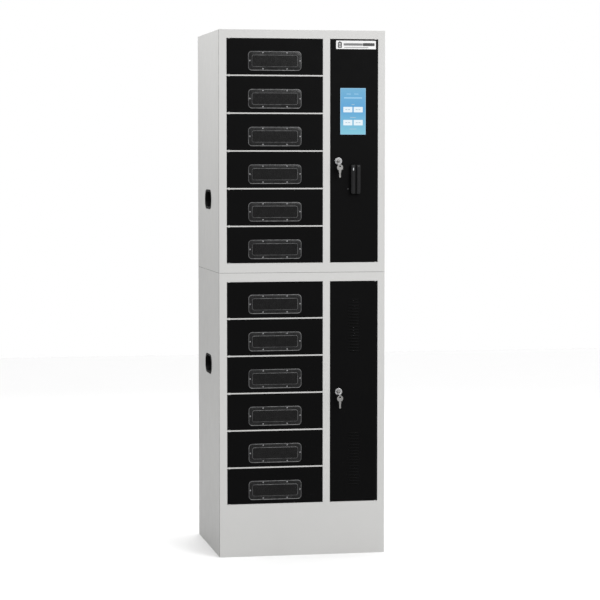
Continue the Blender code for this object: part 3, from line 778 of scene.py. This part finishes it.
def bay_fittings():
    """Face plates of the latches and metal shells of the charging sockets."""
    slot_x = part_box("bay_door_01")[1].x - 0.0012 - 0.0015
    for cabinet in CABINETS:
        latch_low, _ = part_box(cabinet + "_latch_strip")
        strip_low, strip_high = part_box(cabinet + "_outlet_strip")
        port_x = (strip_low.x + strip_high.x) / 2
        plates, shells, tongues, screws = (bmesh.new() for _ in range(4))
        for row in range(BAYS_IN_CABINET):
            bottom = latch_low.z + 0.0012 + row * BAY_PITCH
            spot = (slot_x, bottom + 0.06525)
            outer = outline(spot, (0.0155, 0.040), 0.002, 3)
            inner = outline(spot, (0.0087, 0.0242), 0.0004, 3)
            rim(plates, outer, inner, 1, latch_low.y - 0.0008, latch_low.y + 0.0002)
            for rise in (-0.0162, 0.0162):
                head = (slot_x, latch_low.y - 0.0006, spot[1] + rise)
                screw_head(screws, head, (0, -1, 0), 0.0022, 0.0009)
            for above in (0.050, 0.070):
                port = (port_x, bottom + above)
                outer = outline(port, (0.0142, 0.0052), 0.0008, 2)
                inner = outline(port, (0.0128, 0.0037), 0.0003, 2)
                rim(shells, outer, inner, 1, strip_low.y - 0.0005, strip_low.y + 0.0004)
                tongue = outline((port[0], port[1] + 0.0006), (0.0106, 0.0014), 0.0002, 1)
                slab(tongues, tongue, 1, strip_low.y + 0.0012, strip_low.y + 0.0075)
        for z in (strip_low.z + 0.0085, strip_high.z - 0.0085):
            screw_head(screws, (port_x, strip_low.y, z), (0, -1, 0), 0.003, 0.0015)
        finished(cabinet + "_latch_plates", plates, "zinc", "cabinet", 0.0002)
        finished(cabinet + "_port_shells", shells, "zinc", "cabinet")
        finished(cabinet + "_port_tongues", tongues, "nylon", "cabinet")
        finished(cabinet + "_strip_screws", screws, "zinc", "cabinet")


def controller_details():
    """Lid, screws, vent slots as dark bars of painted shade, status lamps and connectors of the
    controller.
    """
    low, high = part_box("controller_box")
    centre = ((low.x + high.x) / 2, (low.z + high.z) / 2)
    size = (high.x - low.x, high.z - low.z)
    front = low.y - 0.0016
    lid, screws, vents, lamps, sockets = (bmesh.new() for _ in range(5))
    outer = outline(centre, (size[0] - 0.008, size[1] - 0.008), 0.004, 4)
    slab(lid, outer, 1, front, low.y + 0.0002)
    for x in (low.x + 0.012, high.x - 0.012):
        for z in (low.z + 0.012, high.z - 0.012):
            screw_head(screws, (x, front, z), (0, -1, 0), 0.0032, 0.0015)
    # Dark bars on the lid: painted shade standing for the vent slots
    for k in range(10):
        vent = bar(centre[0], high.z - 0.035 - 0.007 * k, 0.085, 0.0030, 0.0014)
        slab(vents, vent, 1, front - 0.0003, front)
    for k in range(3):
        lamp = bar(centre[0] - 0.012 + 0.012 * k, low.z + 0.045, 0.0050, 0.0030, 0.0012)
        slab(lamps, lamp, 1, front - 0.0006, front)
    for k in range(4):
        spot = (low.x + 0.031 + 0.0325 * k, (low.y + high.y) / 2)
        outer = outline(spot, (0.019, 0.014), 0.0008, 2)
        inner = outline(spot, (0.0155, 0.0105), 0.0004, 2)
        rim(sockets, outer, inner, 2, low.z - 0.0012, low.z + 0.0002)
    finished("controller_lid", lid, "plastic", "cabinet", 0.0006)
    finished("controller_screws", screws, "zinc", "cabinet")
    finished("controller_vent_shade", vents, "dark", "cabinet")
    finished("controller_lamps", lamps, "lamp", "cabinet")
    finished("controller_sockets", sockets, "zinc", "cabinet")


# ---------------------------------------------------------------- studio


def by_camera_ray(tree, others, camera, output):
    """Shows the camera one shader and gives all other rays another."""
    mix = tree.nodes.new("ShaderNodeMixShader")
    is_camera = tree.nodes.new("ShaderNodeLightPath").outputs["Is Camera Ray"]
    tree.links.new(is_camera, mix.inputs[0])
    tree.links.new(others.outputs[0], mix.inputs[1])
    tree.links.new(camera.outputs[0], mix.inputs[2])
    tree.links.new(mix.outputs[0], output.inputs[0])


def studio_floor():
    """Pale floor that throws less light up at the cabinet than it shows."""
    bm = bmesh.new()
    slab(bm, outline((0, 0), (16, 16), 2.0), 2, -0.02, 0.0)
    bmesh.ops.recalc_face_normals(bm, faces=bm.faces)
    mesh = bpy.data.meshes.new("floor")
    bm.to_mesh(mesh)
    bm.free()
    floor = bpy.data.objects.new("floor", mesh)
    bpy.context.scene.collection.objects.link(floor)
    pale = Surface("floor_paint", (0.87, 0.87, 0.87), 0.6)
    pale.roughness(pale.spread(pale.noise(3, 3.0), 0.55, 0.7))
    bounce = pale.nodes.new("ShaderNodeBsdfDiffuse")
    bounce.inputs["Color"].default_value = (0.5, 0.5, 0.5, 1.0)
    output = pale.nodes["Material Output"]
    by_camera_ray(pale.material.node_tree, bounce, pale.shader, output)
    mesh.materials.append(pale.material)


def studio_sky():
    """White to the camera; a soft box, brighter above and to the right, to the object."""
    world = bpy.data.worlds.new("studio")
    bpy.context.scene.world = world
    world.use_nodes = True
    tree = world.node_tree
    nodes, links = tree.nodes, tree.links
    seen = nodes["Background"]
    seen.inputs["Color"].default_value = (1.0, 1.0, 1.0, 1.0)
    seen.inputs["Strength"].default_value = 1.0
    soft_box = nodes.new("ShaderNodeBackground")
    soft_box.inputs["Color"].default_value = (1.0, 1.0, 1.0, 1.0)
    lean = nodes.new("ShaderNodeVectorMath")
    lean.operation = "DOT_PRODUCT"
    lean.inputs[1].default_value = SKY_LEAN
    links.new(nodes.new("ShaderNodeTexCoord").outputs["Generated"], lean.inputs[0])
    strength = lean.outputs["Value"]
    for operation, number in (("ADD", SKY_LEVEL), ("MAXIMUM", SKY_LOWEST)):
        node = nodes.new("ShaderNodeMath")
        node.operation = operation
        node.inputs[1].default_value = number
        links.new(strength, node.inputs[0])
        strength = node.outputs[0]
    links.new(strength, soft_box.inputs["Strength"])
    by_camera_ray(tree, soft_box, seen, nodes["World Output"])


def studio_lamps():
    for name, spot, target, size, power in LIGHTS:
        light = bpy.data.lights.new(name, "AREA")
        light.size = size
        light.energy = power
        lamp = bpy.data.objects.new(name, light)
        lamp.location = spot
        aim = Vector(target) - Vector(spot)
        lamp.rotation_euler = aim.to_track_quat("-Z", "Y").to_euler()
        bpy.context.scene.collection.objects.link(lamp)


def studio_camera():
    """At the front, a little to the left and above the middle, as in the photo."""
    camera = bpy.data.objects.new("camera", bpy.data.cameras.new("camera"))
    camera.data.lens = 133.76
    camera.data.sensor_width = 36.0
    camera.location = (-1.5215, -8.1565, 1.4417)
    camera.rotation_euler = (math.radians(90 - 3.645), 0, math.radians(-10.842))
    bpy.context.scene.collection.objects.link(camera)
    bpy.context.scene.camera = camera


def main():
    bpy.context.scene.view_settings.view_transform = "Standard"
    studio_floor()
    studio_sky()
    studio_lamps()
    studio_camera()
    cabinet_shells()
    back_details()
    carrying_handles()
    for number in BAY_NUMBERS:
        bay_door_pieces(number)
    service_doors()
    touchscreen_picture()
    name_strip()
    card_reader()
    locks()
    power_details()
    bay_fittings()
    controller_details()


main()
